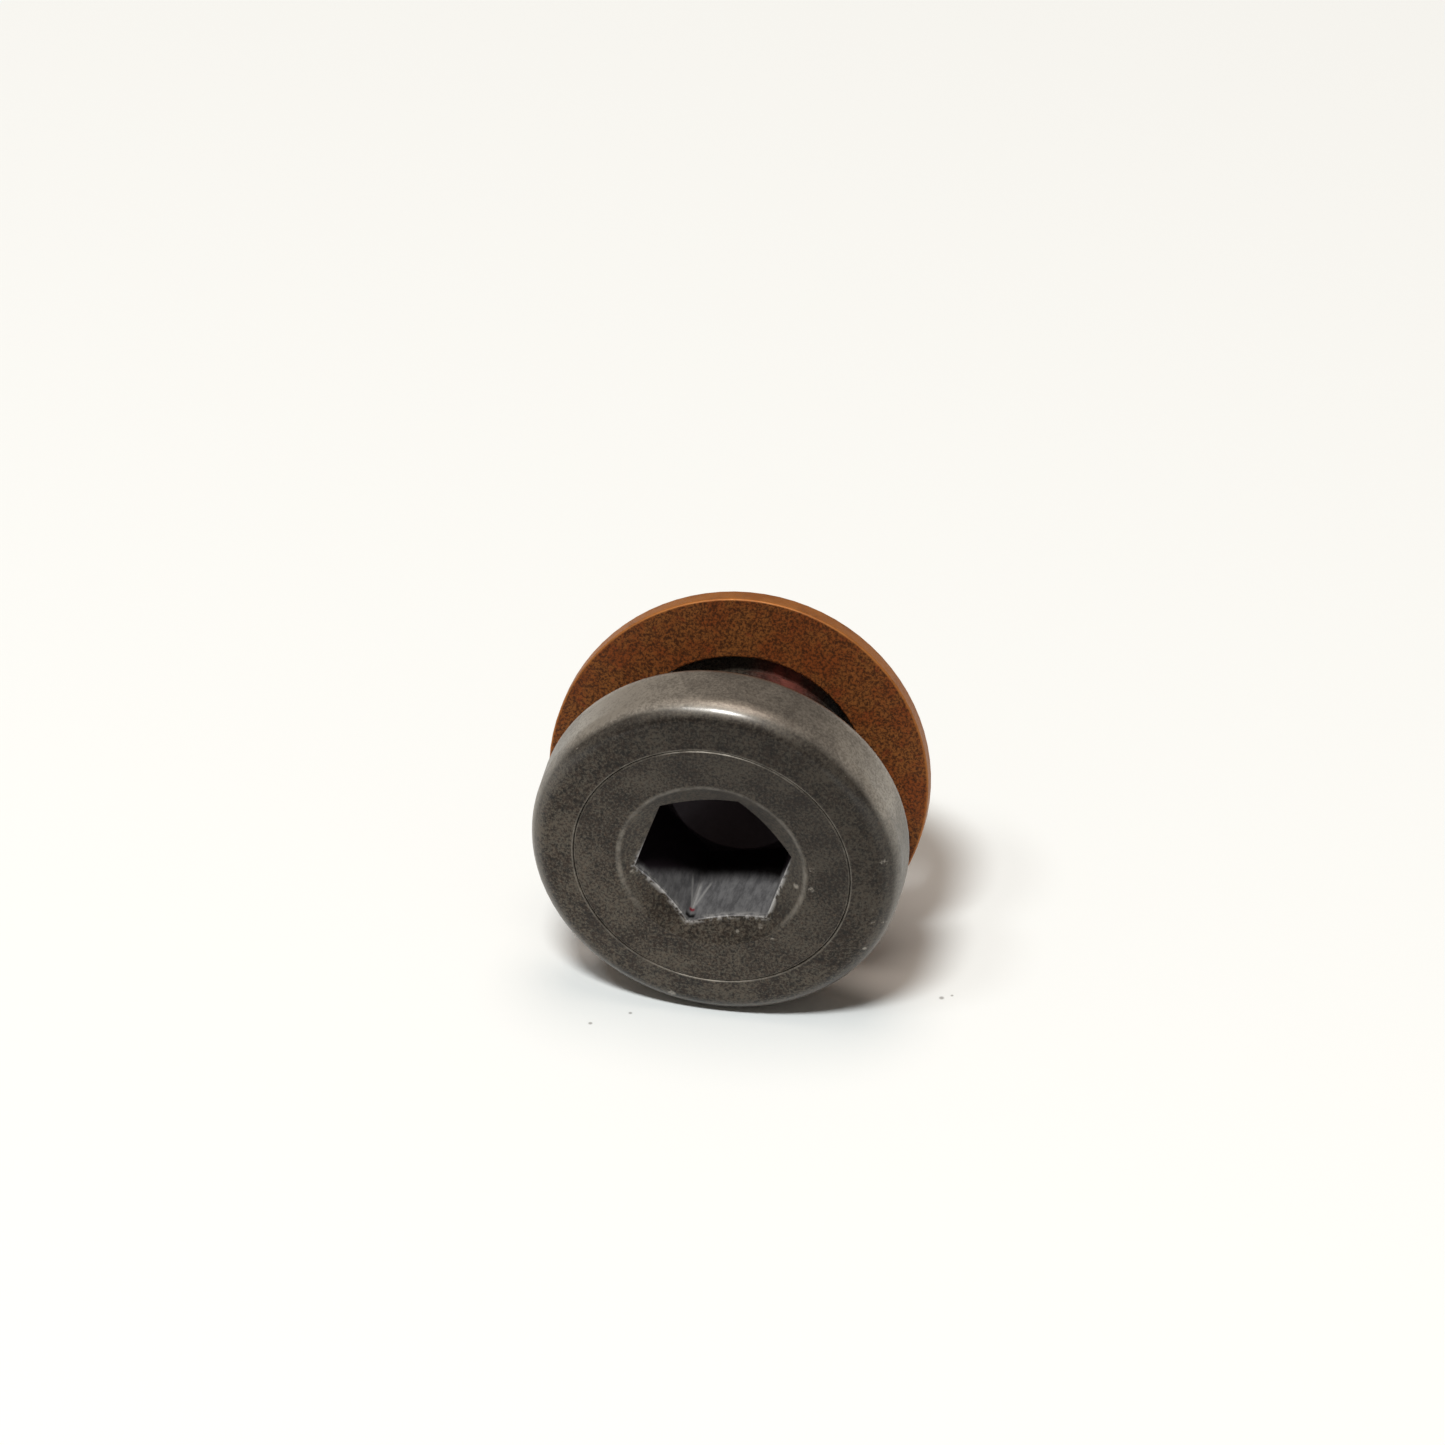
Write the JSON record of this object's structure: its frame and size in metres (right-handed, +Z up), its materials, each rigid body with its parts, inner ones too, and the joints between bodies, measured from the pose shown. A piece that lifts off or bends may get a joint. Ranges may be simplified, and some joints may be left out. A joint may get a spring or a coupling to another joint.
{
  "type": "cam follower",
  "caption": "Stud-type cam follower: narrow round-edged ball-bearing roller on a short threaded stud with a hex socket in its face, and a loose flat washer on the stud.",
  "frame": {"origin": "on the spin axis, in the plane of the ball circle, 1.5 mm behind the roller's drive face", "axes": "+Y along the spin axis from the drive face to the stud's end, +Z up, with the leaning washer's lowest point down"},
  "size_m": [0.0129, 0.0099, 0.0126],
  "materials": {
    "black_oxide_steel": "satin black oxide, worn bright on its edges",
    "black_oxide_ring": "satin black oxide, polished by running",
    "bearing_balls": "polished",
    "tarnished_copper": "dull brown tarnish, brighter on the rim"
  },
  "bodies": {
    "stud": {"stud": "black_oxide_steel", "end_plate": "black_oxide_steel"},
    "roller": {"outer_ring": "black_oxide_ring"},
    "ball_row": {"ball_01": "bearing_balls", "ball_02": "bearing_balls", "ball_03": "bearing_balls", "ball_04": "bearing_balls", "ball_05": "bearing_balls", "ball_06": "bearing_balls", "ball_07": "bearing_balls", "ball_08": "bearing_balls", "ball_09": "bearing_balls", "ball_10": "bearing_balls", "ball_11": "bearing_balls", "ball_12": "bearing_balls", "ball_13": "bearing_balls", "ball_14": "bearing_balls", "ball_15": "bearing_balls", "ball_16": "bearing_balls", "ball_17": "bearing_balls", "ball_18": "bearing_balls", "ball_19": "bearing_balls", "ball_20": "bearing_balls", "ball_21": "bearing_balls"},
    "washer": {"washer": "tarnished_copper"}
  },
  "joints": [
    {"name": "roller_spin", "type": "hinge", "parent": "stud", "child": "roller", "pos_m": [0, 0, 0], "axis": [0, 1, 0], "continuous": true},
    {"name": "ball_row_spin", "type": "hinge", "parent": "stud", "child": "ball_row", "pos_m": [0, 0, 0], "axis": [0, 1, 0], "continuous": true},
    {"name": "washer_rock", "type": "hinge", "parent": "stud", "child": "washer", "pos_m": [-0.00138, 0.00169, -0.00598], "axis": [0.977, 0, -0.213], "range_deg": [0, 15.9]}
  ],
  "couplings": [
    {"joint": "ball_row_spin", "follows": "roller_spin", "ratio": 0.57173}
  ]
}
